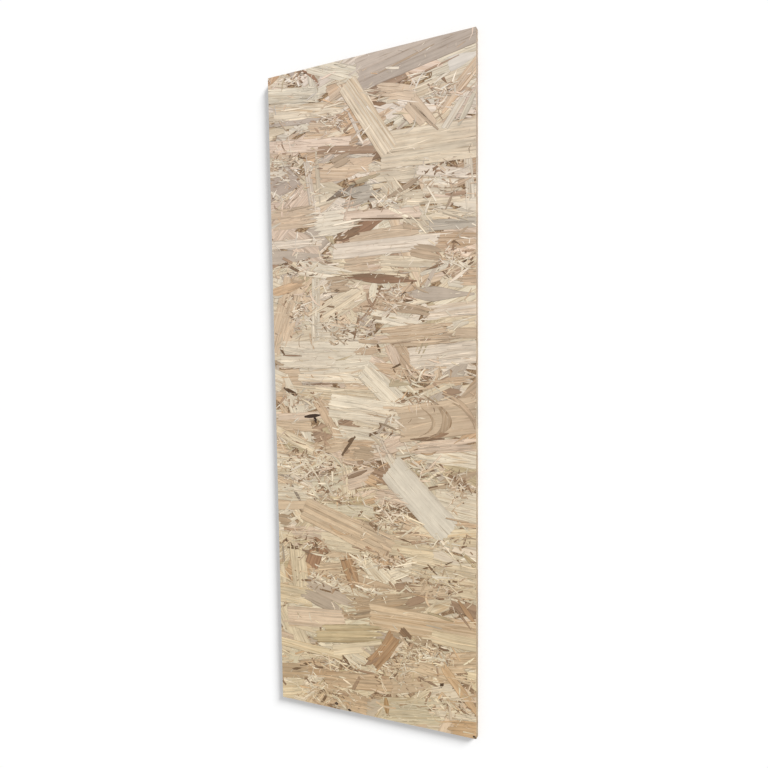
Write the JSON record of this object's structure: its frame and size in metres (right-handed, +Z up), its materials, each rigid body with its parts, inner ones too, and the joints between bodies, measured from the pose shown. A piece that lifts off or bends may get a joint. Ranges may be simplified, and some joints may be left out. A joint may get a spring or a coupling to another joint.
{
  "type": "osb board",
  "caption": "Flat rectangular oriented strand board panel with square sawn edges, cut from a larger sheet.",
  "frame": {"origin": "underside of the board, under the middle of its outline", "axes": "+Y along the board's length, +X across its width, +Z up through its thickness"},
  "size_m": [0.4, 1.2, 0.012],
  "materials": {
    "strand_wood": "unsanded pressed wood strands with a thin matte resin and wax skin, sawn edges"
  },
  "bodies": {
    "root": {"osb_board": "strand_wood"}
  },
  "joints": []
}
